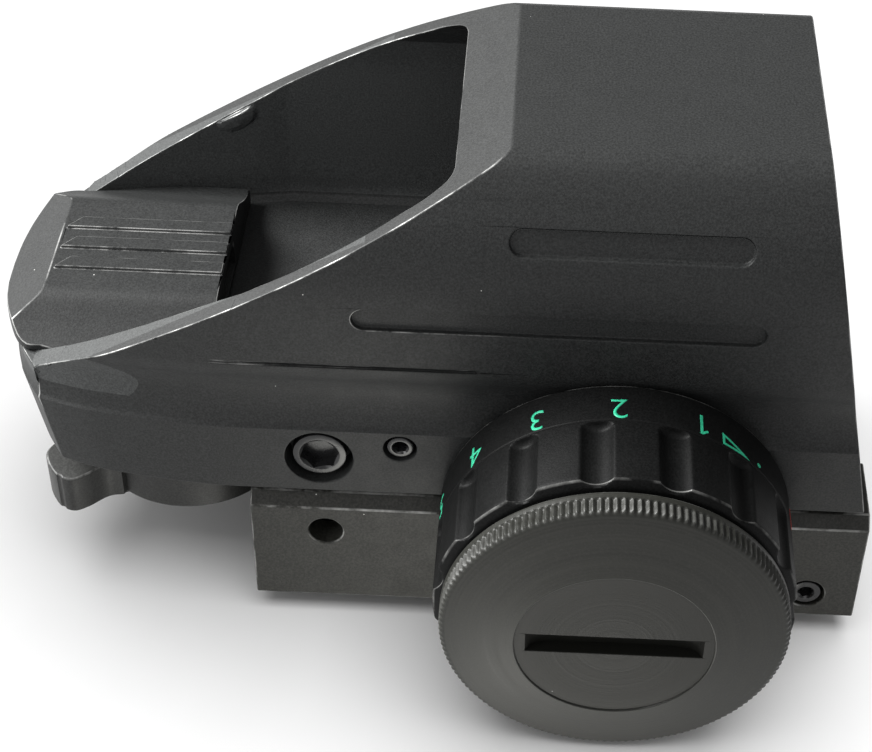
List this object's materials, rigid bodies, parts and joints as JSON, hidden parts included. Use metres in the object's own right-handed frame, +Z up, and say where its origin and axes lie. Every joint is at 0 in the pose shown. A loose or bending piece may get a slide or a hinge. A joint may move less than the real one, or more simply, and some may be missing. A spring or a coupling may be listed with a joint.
{
  "type": "red dot finder",
  "caption": "Open reflex red dot finder: hooded housing with tilted lens, ribbed emitter cover, fluted rheostat and battery turret, reticle lever and rail clamp.",
  "frame": {"origin": "centre of the saddle face that rests on the top of the rail", "axes": "+X towards the target, along the rail; +Y to the left of the user; +Z up, away from the rail"},
  "size_m": [0.0874, 0.0552, 0.0553],
  "materials": {
    "cast_black": "bead-blasted matt black on cast aluminium, fine grain",
    "anodised_black": "matt black anodised",
    "jaw_black": "matt black anodised, machined edges",
    "knob_black": "satin black anodised, fluted",
    "cap_black": "fine-turned black anodised, coin edge",
    "black_steel": "black oxide steel",
    "bright_steel": "ground steel",
    "spring_steel": "drawn wire",
    "brass": "machined",
    "black_plastic": "moulded",
    "lens_glass": "coated glass, faint red reflection",
    "led_lens": "clear tinted epoxy",
    "wire_insulation": "soft insulation",
    "circuit_board": "fibre board with contact track",
    "seal_rubber": "moulded ring"
  },
  "bodies": {
    "sight_body": {"housing": "cast_black", "objective_lens": "lens_glass", "lens_frame": "black_plastic", "emitter_cover": "anodised_black", "cover_screw_left": "black_steel", "cover_screw_right": "black_steel", "bottom_plate": "anodised_black", "bottom_plate_screw_left": "black_steel", "bottom_plate_screw_right": "black_steel", "gimbal_pin": "bright_steel", "windage_spring": "spring_steel", "elevation_spring": "spring_steel", "led_wires": "wire_insulation", "rail_base": "anodised_black", "base_screw_1": "black_steel", "base_screw_2": "black_steel", "base_screw_3": "black_steel", "base_screw_4": "black_steel", "fixed_jaw": "jaw_black", "jaw_dowel_1": "bright_steel", "jaw_dowel_2": "bright_steel", "turret_base": "anodised_black", "turret_screw_1": "black_steel", "turret_screw_2": "black_steel", "contact_disc": "circuit_board", "detent_ball": "bright_steel", "detent_spring": "spring_steel", "knob_retaining_screw": "black_steel"},
    "gimbal": {"gimbal_block": "brass"},
    "pointer_arm": {"emitter_arm": "bright_steel", "led_emitter": "led_lens", "led_holder": "black_plastic"},
    "drum": {"reticle_drum": "brass"},
    "selector": {"selector_lever": "anodised_black", "selector_spindle": "bright_steel", "lever_screw": "black_steel"},
    "windage_adjuster": {"windage_screw": "black_steel"},
    "windage_lock": {"windage_lock_screw": "black_steel"},
    "elevation_adjuster": {"elevation_screw": "black_steel"},
    "elevation_lock": {"elevation_lock_screw": "black_steel"},
    "rheostat": {"rheostat_knob": "knob_black", "wiper_contact": "brass", "battery_spring": "spring_steel", "coin_cell": "bright_steel"},
    "cap_ring": {"cap_seal": "seal_rubber"},
    "cap": {"battery_cap": "cap_black"},
    "rear_bolt": {"jaw_bolt_rear": "black_steel"},
    "front_bolt": {"jaw_bolt_front": "black_steel"},
    "jaw": {"moving_jaw": "jaw_black"},
    "grub": {"jaw_grub_screw": "black_steel"}
  },
  "joints": [
    {"name": "rheostat_turn", "type": "hinge", "parent": "sight_body", "child": "rheostat", "pos_m": [0.00535, -0.026, 0.0084], "axis": [0, -1, 0], "range_deg": [-150, 150]},
    {"name": "cap_turn", "type": "hinge", "parent": "rheostat", "child": "cap_ring", "pos_m": [0.00535, -0.033, 0.0084], "axis": [0, -1, 0], "range_deg": [0, 1152]},
    {"name": "cap_travel", "type": "slide", "parent": "cap_ring", "child": "cap", "axis": [0, -1, 0], "range_m": [0, 0.0024]},
    {"name": "selector_turn", "type": "hinge", "parent": "sight_body", "child": "selector", "pos_m": [-0.0392, 0, 0.004], "axis": [0, 0, 1], "range_deg": [-96.9, 0]},
    {"name": "elevation_turn", "type": "hinge", "parent": "sight_body", "child": "elevation_adjuster", "pos_m": [-0.0205, 0, 0.019], "axis": [0, 0, 1], "range_deg": [-138, 138]},
    {"name": "gimbal_pitch", "type": "hinge", "parent": "sight_body", "child": "gimbal", "pos_m": [-0.0315, 0, 0.013], "axis": [0, 1, 0], "range_deg": [-1.02, 1.02]},
    {"name": "windage_turn", "type": "hinge", "parent": "sight_body", "child": "windage_adjuster", "pos_m": [-0.0236, -0.012, 0.0134], "axis": [0, -1, 0], "range_deg": [-145, 145]},
    {"name": "arm_yaw", "type": "hinge", "parent": "gimbal", "child": "pointer_arm", "pos_m": [-0.0315, 0, 0.015], "axis": [0, 0, 1], "range_deg": [-1.5, 1.5]},
    {"name": "drum_turn", "type": "hinge", "parent": "pointer_arm", "child": "drum", "pos_m": [-0.0392, 0, 0.02], "axis": [0, 0, 1], "range_deg": [-96.9, 0]},
    {"name": "windage_lock_turn", "type": "hinge", "parent": "sight_body", "child": "windage_lock", "pos_m": [-0.0157, -0.015, 0.0151], "axis": [0, -1, 0], "range_deg": [0, 360]},
    {"name": "elevation_lock_turn", "type": "hinge", "parent": "sight_body", "child": "elevation_lock", "pos_m": [-0.0134, 0, 0.017], "axis": [0, 0, 1], "range_deg": [0, 360]},
    {"name": "jaw_slide", "type": "slide", "parent": "sight_body", "child": "jaw", "axis": [0, 1, 0], "range_m": [0, 0.003]},
    {"name": "jaw_bolt_turn", "type": "hinge", "parent": "sight_body", "child": "rear_bolt", "pos_m": [-0.0233, 0, 0.0032], "axis": [0, -1, 0], "range_deg": [0, 1544]},
    {"name": "front_bolt_turn", "type": "hinge", "parent": "sight_body", "child": "front_bolt", "pos_m": [0.016, 0, 0.0032], "axis": [0, -1, 0], "range_deg": [0, 1544]},
    {"name": "grub_turn", "type": "hinge", "parent": "sight_body", "child": "grub", "pos_m": [0.0257, -0.015, -0.00305], "axis": [0, -1, 0], "range_deg": [0, 360]}
  ],
  "couplings": [
    {"joint": "cap_turn", "follows": "cap_travel", "rad_per_m": 8377.6},
    {"joint": "drum_turn", "follows": "selector_turn", "ratio": 1},
    {"joint": "gimbal_pitch", "follows": "elevation_turn", "ratio": -0.0072343},
    {"joint": "arm_yaw", "follows": "windage_turn", "ratio": -0.010073},
    {"joint": "jaw_bolt_turn", "follows": "jaw_slide", "rad_per_m": 8976},
    {"joint": "front_bolt_turn", "follows": "jaw_slide", "rad_per_m": 8976}
  ]
}
